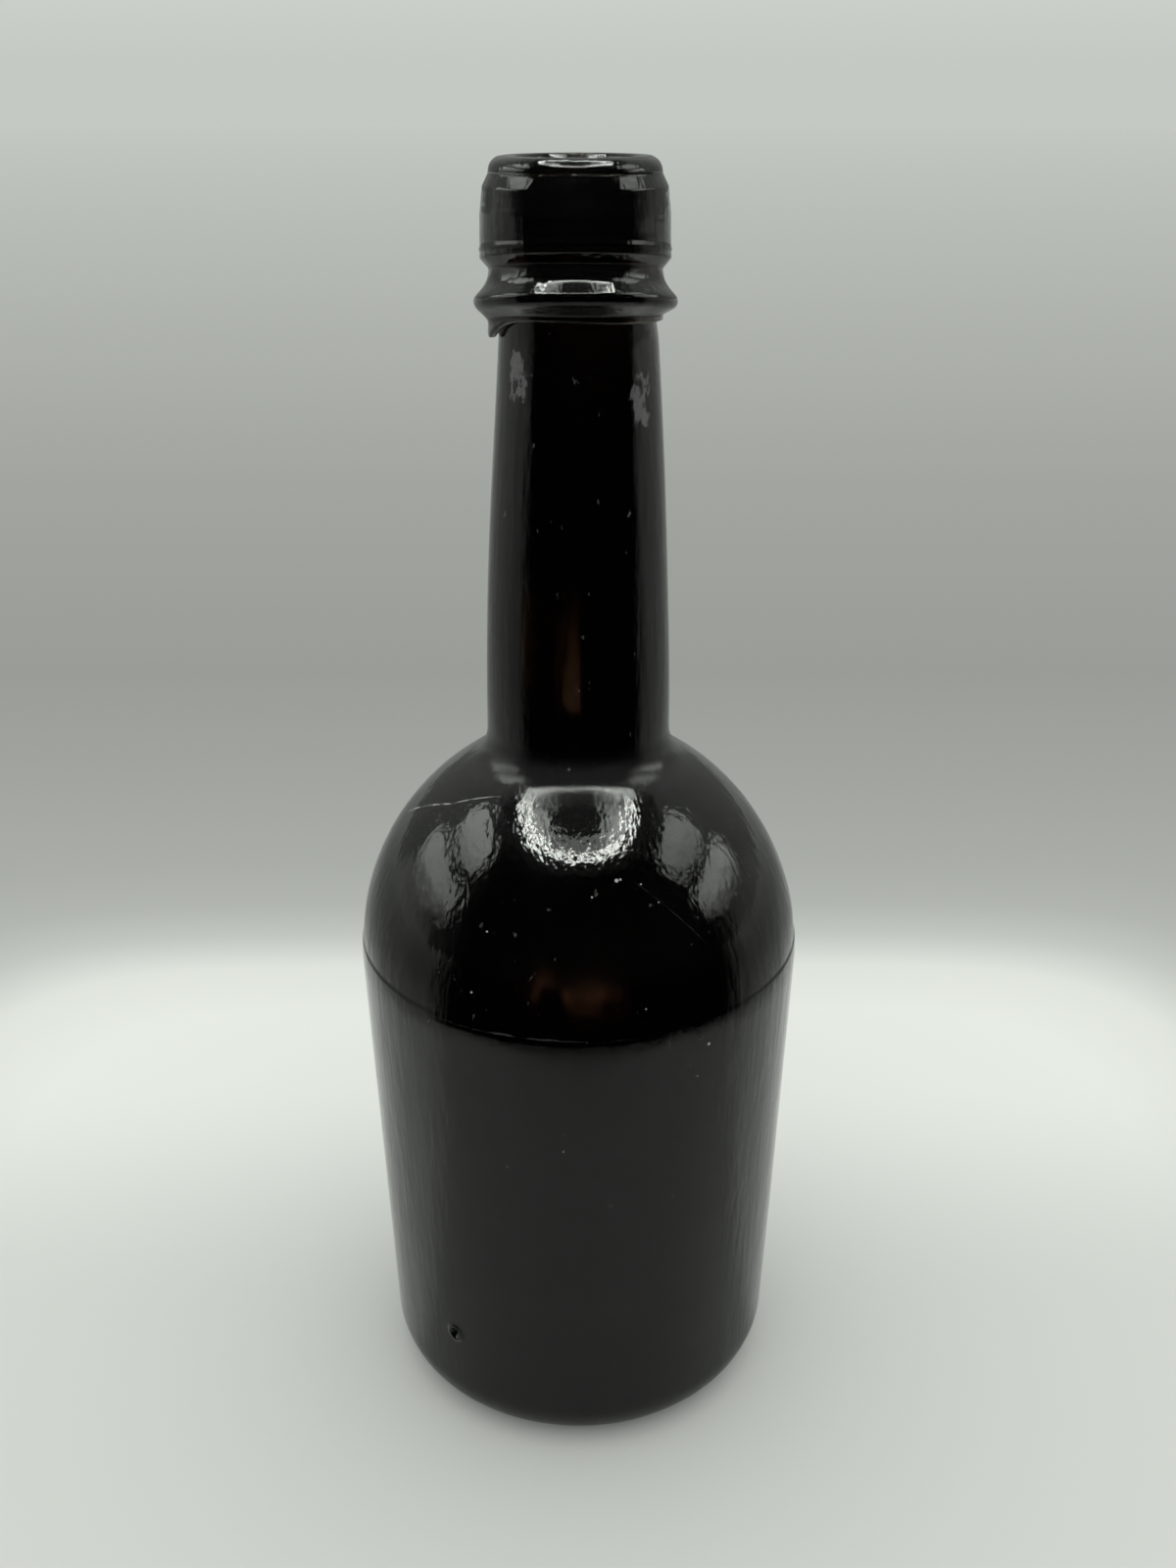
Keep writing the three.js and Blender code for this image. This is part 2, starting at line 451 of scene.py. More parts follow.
@dataclass(frozen=True)
class DarkGlass:
    """Very dark olive-amber glass, worn by long use.

    Absorption is per metre of glass. Streaks run up the bottle, and pits are the grains of its sandy skin.
    The dull band is a range of heights where dirt and wear took the gloss.
    """

    name: str
    absorption: tuple[float, float, float] = (900.0, 1100.0, 1260.0)
    density_margin: float = 1.1
    ior: float = 1.5
    roughness: float = 0.04
    worn: float = 0.6
    haze: float = 0.07
    dull: float = 0.22
    dull_band: tuple[float, float] = (0.0, 0.0)
    streak_depth: float = 0.08 * MM
    pit_depth: float = 0.035 * MM
    swell_depth: float = 0.07 * MM
    streak_scale: float = 700.0
    streak_squash: float = 0.12
    pit_scale: float = 900.0
    pit_squash: float = 0.7
    swell_scale: float = 160.0
    cloud_scale: float = 45.0
    cloud_edge: tuple[float, float] = (0.45, 0.7)
    speck_scale: float = 95.0
    speck_chance: float = 0.62
    speck_size: float = 0.028
    speck_strength: float = 0.2
    # Marks are real scratches and flecks, or pale patches painted on as highlights.
    marks: tuple[Mark, ...] = ()
    marks_middle: tuple[float, float, float] = (0, 0, 0.0945)

    def material(self) -> bpy.types.Material:
        """Builds the finish.

        Returns:
            The material.
        """
        made = bpy.data.materials.new(self.name)
        made.use_nodes = True
        wiring = Wiring(made.node_tree)
        place = wiring.add("TexCoord").outputs["Object"]
        pale = self.worn_spots_and_painted_highlights(wiring, place)
        surface = wiring.add(
            "BsdfPrincipled",
            {
                "Base Color": (1, 1, 1, 1),
                "Roughness": wiring.blend(pale, self.worn_roughness(wiring, place), self.worn),
                "IOR": self.ior,
                "Transmission Weight": wiring.math("SUBTRACT", 1.0, pale),
                "Normal": self.uneven_skin(wiring, place),
            },
        )
        density = max(self.absorption) * self.density_margin
        tint = tuple(1 - share / density for share in self.absorption)
        inside = wiring.add("VolumeAbsorption", {"Color": (*tint, 1), "Density": density})
        wiring.add("OutputMaterial", {"Surface": surface.outputs[0], "Volume": inside.outputs[0]})
        return made

    def worn_spots_and_painted_highlights(self, wiring: Wiring, place: Socket) -> Socket:
        """Where the glass is scratched, chipped or speckled, or painted pale as a highlight, from 0 to 1.

        Args:
            wiring: the material's nodes.
            place: the position on the piece.

        Returns:
            The socket that gives the paleness.
        """
        cells = wiring.add("TexVoronoi", {"Vector": place, "Scale": self.speck_scale, "Randomness": 1.0})
        chance = wiring.add("SeparateColor", {0: cells.outputs["Color"]}).outputs["Red"]
        size = wiring.rise(chance, self.speck_chance, 1.0, 0.0, self.speck_size)
        speck = wiring.math("LESS_THAN", cells.outputs["Distance"], size)
        pale = wiring.math("MULTIPLY", speck, self.speck_strength)
        from_middle = wiring.vector("SUBTRACT", place, self.marks_middle)
        # The marks add real wear and painted highlight patches to the paleness.
        for mark in self.marks:
            spot = mark.at(wiring, from_middle, Vector(self.marks_middle))
            pale = wiring.math("MAXIMUM", pale, spot)
        return pale

    def worn_roughness(self, wiring: Wiring, place: Socket) -> Socket:
        """Roughness with cloudy patches where handling and storage dulled the glass.

        Args:
            wiring: the material's nodes.
            place: the position on the piece.

        Returns:
            The socket that gives the roughness.
        """
        cloudy = wiring.rise(wiring.noise(place, self.cloud_scale, 4, 0.6), *self.cloud_edge)
        cloudy = wiring.blend(cloudy, self.roughness, self.haze)
        low, high = self.dull_band
        height = wiring.add("SeparateXYZ", {0: place}).outputs["Z"]
        away = wiring.math("ABSOLUTE", wiring.math("SUBTRACT", height, (low + high) / 2))
        dull = wiring.rise(away, (high - low) * 0.3, (high - low) * 0.5 + MM, 1, 0)
        return wiring.blend(dull, cloudy, self.dull if high > low else cloudy)

    def uneven_skin(self, wiring: Wiring, place: Socket) -> Socket:
        """Fine relief: streaks along the bottle, sandy pits and a faint orange peel.

        Args:
            wiring: the material's nodes.
            place: the position on the piece.

        Returns:
            The socket that gives the normal.
        """
        across = wiring.vector("MULTIPLY", place, (1, 1, self.streak_squash))
        streaks = wiring.noise(across, self.streak_scale, 2, 0.5)
        grains = wiring.vector("MULTIPLY", place, (1, 1, self.pit_squash))
        pits = wiring.noise(grains, self.pit_scale, 2, 0.5)
        swell = wiring.noise(place, self.swell_scale, 1, 0.4)
        relief = wiring.math("MULTIPLY", streaks, self.streak_depth)
        relief = wiring.math("ADD", relief, wiring.math("MULTIPLY", pits, self.pit_depth))
        relief = wiring.math("ADD", relief, wiring.math("MULTIPLY", swell, self.swell_depth))
        bump = wiring.add("Bump", {"Strength": 1.0, "Distance": 1.0, "Height": relief})
        return bump.outputs[0]


WEAR_AND_PAINTED_HIGHLIGHTS = (
    # The two patches on the neck are painted highlights; the scratches and flecks are real wear.
    PaintedHighlightPatch((-9.8, -9.6, 206.5), 3.4 * MM, 6.0 * MM, 0.10),
    PaintedHighlightPatch((10.2, -9.2, 202.5), 3.2 * MM, 8.5 * MM, 0.10),
    Scratch((-33.0, -2.0, 123.6), (-23.4, -12.8, 130.2), 0.22 * MM, 0.35),
    Scratch((-23.4, -12.8, 130.2), (-13.8, -17.3, 133.7), 0.16 * MM, 0.3),
    Scratch((17.2, -27.7, 123.9), (30.0, -27.1, 109.7), 0.10 * MM, 0.035),
    Scratch((14.1, -27.5, 126.1), (25.3, -27.4, 116.9), 0.09 * MM, 0.03),
    Scratch((9.0, -31.0, 124.0), (22.0, -32.0, 112.0), 0.08 * MM, 0.025),
    Fleck((6.6, -31.8, 124.1), 0.48 * MM),
    Fleck((7.3, -31.7, 124.3), 0.30 * MM),
    Fleck((2.3, -34.0, 122.0), 0.26 * MM),
    Fleck((-16.0, -34.4, 115.5), 0.26 * MM),
    Fleck((23.4, -35.9, 93.1), 0.42 * MM),
    Fleck((10.9, -31.4, 123.2), 0.20 * MM),
    Fleck((14.0, -32.5, 120.2), 0.20 * MM),
    Fleck((-18.9, -37.2, 104.9), 0.30 * MM),
    Fleck((11.7, -40.4, 103.3), 0.20 * MM),
    Fleck((-2.9, -42.1, 74.2), 0.20 * MM),
    Fleck((21.4, -36.8, 86.9), 0.20 * MM),
)


@dataclass(frozen=True)
class ThinPlace:
    """A place where the wall is thin, so that a little light comes through it."""

    centre: Vector
    across: float
    along: float
    depth: float
    ragged_size: float = 3.4 * MM

    def at(self, point: Vector) -> float:
        """How much of the wall is missing on the inside.

        Args:
            point: a place on the inner skin.

        Returns:
            The missing thickness.
        """
        away = point - self.centre
        aside = math.hypot(away.x, away.y)
        ragged = 1 + 0.5 * noise.noise(Vector((point.x, point.y, point.z * 0.4)) / self.ragged_size)
        reach = (aside / (self.across * ragged)) ** 2 + (away.z / self.along) ** 2
        return self.depth * smooth_bump(reach, 1.0)


@dataclass
class BlownBottle:
    """The blown bottle: base with its push-up, tapering body, domed shoulder and neck, all one wall."""

    finish: DarkGlass
    node: str = "blown_bottle"
    foot_radius: float = 39.8 * MM
    body_radius: float = 42.82 * MM
    body_height: float = 94.5 * MM
    heel_rounding: float = 10 * MM
    wall: float = 4.3 * MM
    resting_ring: float = 2.9 * MM
    resting_rounding: float = 3 * MM
    push_up: float = 16 * MM
    base_thickness: float = 7 * MM
    inner_heel_rounding: float = 7 * MM
    shoulder_radius: float = 47.25 * MM
    neck_base_radius: float = 17.1 * MM
    neck_fillet: float = 7 * MM
    neck_swell_radius: float = 17.3 * MM
    neck_swell_rise: float = 22 * MM
    neck_length: float = 74.4 * MM
    neck_top_radius: float = 13.4 * MM
    neck_end_radius: float = 12.3 * MM
    mouth_radius: float = 9.4 * MM
    seam_height: float = 98.5 * MM
    seam_reach: float = 1.6 * MM
    seam_step: float = 0.17 * MM
    seam_half_width: float = 0.32 * MM
    seam_fade: float = 7 * MM
    seam_wander: float = 0.12 * MM
    seam_waves: float = 3.0
    wander_waves: float = 0.7
    step_waves: float = 1.3
    step_share: tuple[float, float] = (0.85, 0.5)
    leak_azimuth: float = math.radians(-11)
    leak_half_width: float = math.radians(19)
    leak_proud: float = 0.08 * MM
    leak_depth: float = 0.16 * MM
    leak_waves: float = 7
    leak_share: tuple[float, float] = (0.6, 2.0)
    leak_spread: float = 1.6
    fin_spread: float = 0.6
    mould_line_half_width: float = 0.45 * MM
    mould_line_proud: float = 0.07 * MM
    mould_line_crest: float = 0.5
    mould_line_waves: float = 4 * MM
    mould_line_share: tuple[float, float] = (0.75, 0.25)
    mould_line_fade: tuple[float, float] = (3 * MM, 5 * MM)
    grain: float = 1.3 * MM
    seam_grain: float = 0.22 * MM
    blister: Vector = Vector((-24.8 * MM, -31.7 * MM, 22.6 * MM))
    blister_radius: float = 1.7 * MM
    blister_rim: float = 0.22
    blister_rim_place: float = 0.85
    blister_rim_width: float = 0.3
    blister_hollow: float = 0.75
    blister_hollow_width: float = 0.5
    lean: float = 0.28 * MM
    lean_rise: tuple[float, float] = (20 * MM, 10 * MM)
    lean_end: float = 4 * MM
    loose_skin: tuple[float, float] = (1 * MM, 12 * MM)
    shrunk: float = 0.4
    even_mouth: float = 8 * MM
    broad: Ripple = Ripple(0.16 * MM, 26 * MM, 44 * MM, 3.1)
    streak: Ripple = Ripple(0.04 * MM, 4.5 * MM, 40 * MM, 7.7)
    rough_inside: Ripple = Ripple(0.55 * MM, 14 * MM, 30 * MM, 11.3)
    thin_places: tuple[ThinPlace, ...] = (
        ThinPlace(Vector((-1.0 * MM, -13 * MM, 152 * MM)), 3.6 * MM, 19 * MM, 2.5 * MM),
        ThinPlace(Vector((0.0, 13 * MM, 144 * MM)), 6 * MM, 26 * MM, 2.9 * MM),
        ThinPlace(Vector((-8.6 * MM, -9.2 * MM, 166 * MM)), 2.2 * MM, 14 * MM, 2.4 * MM),
        ThinPlace(Vector((-8.6 * MM, 9.2 * MM, 158 * MM)), 3.5 * MM, 16 * MM, 2.4 * MM),
        ThinPlace(Vector((2.5 * MM, -36.5 * MM, 103.5 * MM)), 7.5 * MM, 6.5 * MM, 1.7 * MM),
        ThinPlace(Vector((-7.5 * MM, -35.5 * MM, 106 * MM)), 4.0 * MM, 7.5 * MM, 1.9 * MM),
        ThinPlace(Vector((-2.0 * MM, 37.5 * MM, 60 * MM)), 14 * MM, 15 * MM, 2.7 * MM),
    )

    def __post_init__(self) -> None:
        """Works out the centres of the round stretches that the outside and the inside share."""
        self.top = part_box(self.node)[1].z
        ring_outer = self.foot_radius - self.heel_rounding
        ring_inner = ring_outer - self.resting_ring
        chord = (ring_inner**2 + self.push_up**2) / (2 * self.push_up)
        self.dome_radius = chord - self.resting_rounding
        self.dome_centre = Vector((0, 0, self.push_up - self.dome_radius))
        self.resting_centre = Vector((ring_inner, 0, self.resting_rounding))
        self.heel_centre = Vector((ring_outer, 0, self.heel_rounding))
        self.shoulder_centre = Vector((self.body_radius - self.shoulder_radius, 0, self.body_height))
        fillet = self.neck_base_radius + self.neck_fillet
        height = resting_height(self.shoulder_centre, self.shoulder_radius, self.neck_fillet, fillet)
        self.fillet_centre = Vector((fillet, 0, height))
        self.fillet_heading = heading(self.shoulder_centre, self.fillet_centre)

    def outside(self) -> Outline:
        """The outer skin, from the axis under the base up to the end of the neck.

        Returns:
            The profile.
        """
        outline = Outline(self.grain)
        edge = heading(self.dome_centre, self.resting_centre)
        outline.arc(self.dome_centre, self.dome_radius, 90, edge)
        outline.arc(self.resting_centre, self.resting_rounding, 180 + edge, 270)
        outline.arc(self.heel_centre, self.heel_rounding, -90, 0)
        outline.line(Vector((self.body_radius, 0, self.body_height)))
        ends = (self.seam_height - self.seam_reach, self.seam_height + self.seam_reach)
        degrees = [self.shoulder_degrees(height) for height in ends]
        outline.arc(self.shoulder_centre, self.shoulder_radius, 0, degrees[0])
        outline.grain = self.seam_grain
        outline.arc(self.shoulder_centre, self.shoulder_radius, degrees[0], degrees[1])
        outline.grain = self.grain
        outline.arc(self.shoulder_centre, self.shoulder_radius, degrees[1], self.fillet_heading)
        outline.arc(self.fillet_centre, self.neck_fillet, 180 + self.fillet_heading, 180)
        foot = self.fillet_centre.z
        pull = Vector((self.neck_swell_radius, 0, foot + self.neck_swell_rise))
        outline.bend(pull, Vector((self.neck_top_radius, 0, foot + self.neck_length)))
        outline.line(Vector((self.neck_end_radius, 0, self.top)))
        return outline

    def shoulder_degrees(self, height: float) -> float:
        """The direction of the shoulder's surface at a height, from the shoulder's centre."""
        return math.degrees(math.asin((height - self.body_height) / self.shoulder_radius))

    def inside(self, start: Vector) -> Outline:
        """The inner skin, from the end of the neck down to the axis on top of the push-up.

        Args:
            start: the last point of the outer skin.

        Returns:
            The profile.
        """
        outline = Outline(2 * self.grain, [start])
        outline.line(Vector((self.mouth_radius, 0, self.top)))
        outline.arc(self.fillet_centre, self.neck_fillet + self.wall, 180, 180 + self.fillet_heading)
        outline.arc(self.shoulder_centre, self.shoulder_radius - self.wall, self.fillet_heading, 0)
        top_of_dome = self.dome_radius + self.base_thickness
        distance = self.foot_radius - self.wall - self.inner_heel_rounding
        height = resting_height(self.dome_centre, top_of_dome, self.inner_heel_rounding, distance)
        valley = Vector((distance, 0, height))
        valley_heading = heading(self.dome_centre, valley)
        outline.arc(valley, self.inner_heel_rounding, 0, valley_heading - 180)
        outline.arc(self.dome_centre, top_of_dome, valley_heading, 90)
        return outline

    def build(self) -> bpy.types.Object:
        """Turns, works and dresses the bottle.

        Returns:
            The finished piece.
        """
        outer = self.outside()
        made = turned([outer, self.inside(outer.points[-1])], closed=False)
        self.cut_for_mould_lines(made)
        self.cut_for_blister(made)
        made.normal_update()
        self.work(made)
        piece = finished("bottle_of_dark_glass", made)
        piece.data.materials.append(self.finish.material())
        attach(piece, BODY)
        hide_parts(self.node)
        return piece

    def cut_for_mould_lines(self, made: bmesh.types.BMesh) -> None:
        """Cuts the shoulder beside the two lines where its moulds met, front and back.

        Args:
            made: the turned bottle.
        """
        for side in (-1, 1):
            shoulder = [f for f in made.faces if self.on_mould_line(f.calc_center_median())]
            edges = {edge for face in shoulder for edge in face.edges}
            corners = {vertex for face in shoulder for vertex in face.verts}
            bmesh.ops.bisect_plane(
                made,
                geom=[*shoulder, *edges, *corners],
                dist=MERGE_DISTANCE,
                plane_co=(side * self.mould_line_half_width, 0, 0),
                plane_no=(1, 0, 0),
            )

    def on_mould_line(self, point: Vector) -> bool:
        """Whether a point is on the shoulder's outside, near the plane where its moulds met.

        Args:
            point: a place on the bottle.

        Returns:
            True if it is.
        """
        outer = point.z > self.body_height
        near = abs(point.x) < 4 * self.mould_line_half_width
        inner_radius = self.shoulder_radius - self.wall / 2
        height = point.z - self.shoulder_centre.z
        reach = math.hypot(math.hypot(point.x, point.y) - self.shoulder_centre.x, height)
        return outer and near and reach > inner_radius and point.z < self.fillet_centre.z

    def cut_for_blister(self, made: bmesh.types.BMesh) -> None:
        """Divides the faces round the blister near the foot more finely, twice over.

        Args:
            made: the turned bottle.
        """
        reach = 3 * self.blister_radius
        for _ in range(2):
            near = [e for e in made.edges if all((v.co - self.blister).length < reach for v in e.verts)]
            bmesh.ops.subdivide_edges(made, edges=near, cuts=2, use_grid_fill=True)

    def work(self, made: bmesh.types.BMesh) -> None:
        """Moves the skin as breath, moulds and tools left it.

        Args:
            made: the turned bottle.
        """
        layer = made.verts.layers.int["skin"]
        moves = []
        for vertex in made.verts:
            point = vertex.co
            if vertex[layer] == Skin.OUTSIDE.value:
                loose = smooth_step(point.z, *self.loose_skin)
                away = loose * (self.broad.at(point) - self.broad.amount * self.shrunk + self.streak.at(point))
                away += self.seam_at(point) + self.mould_line_at(point) + self.blister_at(point)
            else:
                away = self.rough_inside.at(point) * smooth_step(self.top - point.z, 0, self.even_mouth)
                away -= sum(place.at(point) for place in self.thin_places)
            moves.append((vertex, vertex.normal * away + self.lean_at(point.z)))
        for vertex, move in moves:
            vertex.co += move

    def lean_at(self, height: float) -> Vector:
        """How far the neck strays sideways. It comes back to the axis inside the finish.

        Args:
            height: the height above the floor.

        Returns:
            The move sideways.
        """
        foot = self.fillet_centre.z
        lap = foot + self.neck_length
        above_foot, below_lap = self.lean_rise
        aside = smooth_step(height, foot + above_foot, lap - below_lap)
        aside -= smooth_step(height, lap - self.lean_end, lap)
        return Vector((self.lean * aside, 0, 0))

    def seam_at(self, point: Vector) -> float:
        """The relief of the ring-shaped seam: a step in, with a fin over a broken groove where the moulds leaked.

        Args:
            point: a place on the outer skin.

        Returns:
            How far the seam stands proud there.
        """
        around = Vector((point.x, point.y, 0)).normalized() * self.seam_waves
        height = self.seam_height + self.seam_wander * noise.noise(around * self.wander_waves)
        rise = point.z - height
        least, more = self.step_share
        uneven = least + more * noise.noise(around * self.step_waves)
        step = self.seam_step * uneven * smooth_step(rise, -self.seam_half_width, self.seam_half_width)
        step *= smooth_step(self.seam_fade - rise, 0, self.seam_fade)
        azimuth = math.atan2(point.x, -point.y) - self.leak_azimuth
        least, more = self.leak_share
        leak = max(0.0, least + more * noise.noise(around * self.leak_waves))
        leak = smooth_bump(azimuth, self.leak_half_width) * leak
        wide = self.leak_spread * self.seam_half_width
        fin = self.leak_proud * leak * smooth_bump(rise, self.fin_spread * wide)
        groove = self.leak_depth * leak * smooth_bump(rise + wide, wide)
        return fin - step - groove

    def mould_line_at(self, point: Vector) -> float:
        """The relief of the two lines of the shoulder moulds.

        Args:
            point: a place on the outer skin.

        Returns:
            How far a line stands proud there.
        """
        if not self.on_mould_line(point) or abs(point.x) > self.mould_line_crest * self.mould_line_half_width:
            return 0.0
        low, high = self.mould_line_fade
        fade = smooth_step(point.z, self.seam_height, self.seam_height + low)
        fade *= smooth_step(self.fillet_centre.z - point.z, 0, high)
        least, more = self.mould_line_share
        return self.mould_line_proud * fade * (least + more * noise.noise(point / self.mould_line_waves))

    def blister_at(self, point: Vector) -> float:
        """The relief of the burst blister near the foot: a raised rim round a small hollow.

        Args:
            point: a place on the outer skin.

        Returns:
            How far the glass stands proud there, negative in the hollow.
        """
        distance = (point - self.blister).length
        beyond_rim = distance - self.blister_rim_place * self.blister_radius
        rim = smooth_bump(beyond_rim, self.blister_rim_width * self.blister_radius)
        hollow = smooth_bump(distance, self.blister_hollow_width * self.blister_radius)
        return (self.blister_rim * rim - self.blister_hollow * hollow) * self.blister_radius


@dataclass
class AppliedFinish:
    """The lip: a second gather wound round the neck and tooled to a collar ring, groove, band and rim.

    Heights in the corners are above the finish's lower edge.
    """

    finish: DarkGlass
    bottle: BlownBottle
    node: str = "applied_finish"
    mouth_radius: float = 9.4 * MM
    skirt_radius: float = 14.5 * MM
    collar_radius: float = 17.1 * MM
    band_radius: float = 15.95 * MM
    groove_radius: float = 14.5 * MM
    lip_radius: float = 14.3 * MM
    height: float = 26.0 * MM
    lap_gap: float = 0.3 * MM
    drip_direction: float = math.radians(-170)
    drip_half_width: float = math.radians(19)
    drip_length: float = 2.4 * MM
    drip_thickness: float = 0.5 * MM
    edge_wave: float = 0.2 * MM
    edge_waves_around: int = 3
    collar_height: float = 2.6 * MM
    crooked: float = 2.6 * MM
    crooked_skirt: float = 0.7
    skirt_heights: tuple[float, float] = (0.4 * MM, 2.5 * MM)
    crooked_top: float = 20 * MM
    off_centre: float = 0.25 * MM
    even_edge: float = 0.6
    grain: float = 0.3 * MM
    broad: Ripple = Ripple(0.14 * MM, 9 * MM, 8 * MM, 5.2)
    fine: Ripple = Ripple(0.012 * MM, 2.5 * MM, 9 * MM, 8.8)
    tooling: Ripple = Ripple(0.03 * MM, 16 * MM, 1.1 * MM, 1.4)

    def __post_init__(self) -> None:
        """Finds the finish's place from its solid."""
        self.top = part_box(self.node)[1].z
        self.base = self.top - self.height

    def corners(self) -> list[Corner]:
        """The outside and the mouth, from the lower edge up and over the rim.

        Returns:
            The corners in order, ending inside the lower edge.
        """
        neck = self.bottle.neck_top_radius
        lap_top = self.bottle.top - self.base + self.lap_gap
        skirt, collar, groove, band, lip = (
            self.skirt_radius,
            self.collar_radius,
            self.groove_radius,
            self.band_radius,
            self.lip_radius,
        )
        return [
            Corner(neck + 0.45 * MM, 0.4 * MM),
            Corner(neck + 0.5 * MM, 0.02 * MM, 0.08 * MM),
            Corner(skirt + 0.1 * MM, 0.02 * MM, 0.42 * MM),
            Corner(skirt + 0.05 * MM, 0.95 * MM, 0.6 * MM),
            Corner(collar + 0.95 * MM, 2.6 * MM, 1.35 * MM),
            Corner(groove + 0.45 * MM, 6.0 * MM, 4.4 * MM),
            Corner(groove, 8.3 * MM, 0.75 * MM),
            Corner(band + 0.02 * MM, 10.0 * MM, 0.45 * MM),
            Corner(band - 0.05 * MM, 10.9 * MM, 0.25 * MM),
            Corner(band + 0.1 * MM, 11.4 * MM, 0.15 * MM),
            Corner(band - 0.08 * MM, 12.2 * MM, 0.5 * MM),
            Corner(band - 0.2 * MM, 17.0 * MM, 4 * MM),
            Corner(band - 0.6 * MM, 21.3 * MM, 1.0 * MM),
            Corner(lip, 23.3 * MM, 0.7 * MM),
            Corner(lip, 26.0 * MM, 2.5 * MM),
            Corner(self.mouth_radius + 0.9 * MM, 25.9 * MM, 0.8 * MM),
            Corner(self.mouth_radius, 24.7 * MM, 1.0 * MM),
            Corner(self.mouth_radius, lap_top),
            Corner(self.bottle.neck_end_radius + self.lap_gap, lap_top),
            Corner(neck + self.lap_gap, self.collar_height + 0.6 * MM),
        ]

    def build(self) -> bpy.types.Object:
        """Turns, works and dresses the finish.

        Returns:
            The finished piece.
        """
        outline = Outline(self.grain)
        corners = self.corners()
        lifted = [Corner(c.radius, c.height + self.base, c.rounding) for c in corners]
        outline.rounded(lifted)
        outline.line(lifted[0].at())
        made = turned([outline], closed=True)
        self.work(made)
        piece = finished("lip_of_dark_glass", made)
        piece.data.materials.append(self.finish.material())
        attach(piece, BODY)
        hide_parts(self.node)
        return piece

    def drip_at(self, point: Vector) -> float:
        """How much the drip shows in a point's direction, from 0 to 1."""
        away = (math.atan2(point.y, point.x) - self.drip_direction + math.pi) % math.tau - math.pi
        return smooth_bump(away, self.drip_half_width)

    def covered_neck(self, height: float) -> float:
        """Radius of the neck inside the finish.

        Args:
            height: the height above the floor.

        Returns:
            The radius there.
        """
        start = self.bottle.fillet_centre.z + self.bottle.neck_length
        share = max(0.0, height - start) / (self.bottle.top - start)
        return self.bottle.neck_top_radius + share * (self.bottle.neck_end_radius - self.bottle.neck_top_radius)

    def sunk_at(self, point: Vector, top: float) -> float:
        """How far the crooked lower forms sink. They are lifted at the front and sunk at the back.

        Args:
            point: a place on the finish.
            top: height above the lower edge where the crookedness ends.

        Returns:
            The distance downwards, negative where the glass is lifted.
        """
        height = point.z - self.base
        loose = smooth_step(top - height, 0, top / 2)
        skirt = 1 - smooth_step(height, *self.skirt_heights)
        return self.crooked * loose * (1 - (1 - self.crooked_skirt) * skirt) * point.y / self.collar_radius

    def work(self, made: bmesh.types.BMesh) -> None:
        """Pulls the lower edge into its waves and its drip, and leaves the tool's unevenness.

        Args:
            made: the turned finish.
        """
        swell, top = self.bottle.neck_swell_radius, self.bottle.neck_top_radius
        taper = (swell - top) / (self.bottle.neck_length - self.bottle.neck_swell_rise)
        moves = []
        for vertex in made.verts:
            point = vertex.co
            radius = math.hypot(point.x, point.y)
            level = (self.base + self.collar_height - point.z) / self.collar_height
            share = min(1.0, max(0.0, level)) ** 2
            wave = self.edge_wave * (1 - math.cos(self.edge_waves_around * math.atan2(point.y, point.x)))
            drip = self.drip_at(point)
            drop = share * (wave + self.drip_length * drip)
            outside = radius > self.covered_neck(point.z) + 2 * self.lap_gap
            sunk = self.sunk_at(point, self.crooked_top if outside else self.crooked_top / 2)
            grown = radius + (drop + max(0.0, sunk)) * taper
            if outside:
                grown += share * self.drip_thickness * drip
            move = Vector((point.x, point.y, 0)) * (grown / radius - 1) - UP * drop
            if outside:
                away = self.broad.at(point) + self.fine.at(point) + self.tooling.at(point)
                move += vertex.normal * away * (1 - self.even_edge * share)
                move.x -= self.off_centre * (1 - share)
            move.z -= sunk
            moves.append((vertex, move))
        for vertex, move in moves:
            vertex.co += move


@dataclass(frozen=True)
class SoftBox:
    """A soft lamp far off in the room, known by the direction in which the glass mirrors it.

    Directions are in degrees, azimuth 0 towards the camera and 90 to its right, and the spread is from the
    middle to the edge.
    """

    azimuth: float
    elevation: float
    spread: tuple[float, float]
    glow: float
    low_glow: float
    softness: float = 0.45
    squareness: int = 4
    low_end: tuple[float, float] = (-0.9, 0.3)

    def light(self, wiring: Wiring, azimuth: Socket, elevation: Socket) -> Socket:
        """The lamp's glow, with round, soft edges and a dimmer lower end.

        Args:
            wiring: the world's nodes.
            azimuth: the direction's azimuth in degrees.
            elevation: its elevation in degrees.

        Returns:
            The socket that gives the glow in that direction.
        """
        wide, high = self.spread
        across = wiring.math("DIVIDE", wiring.math("SUBTRACT", azimuth, self.azimuth), wide)
        up = wiring.math("DIVIDE", wiring.math("SUBTRACT", elevation, self.elevation), high)
        reach = wiring.math("POWER", wiring.math("ABSOLUTE", across), self.squareness)
        reach = wiring.math("ADD", reach, wiring.math("POWER", wiring.math("ABSOLUTE", up), self.squareness))
        edge = wiring.rise(reach, 1 - self.softness, 1 + self.softness, 1, 0)
        return wiring.math("MULTIPLY", wiring.rise(up, *self.low_end, self.low_glow, self.glow), edge)


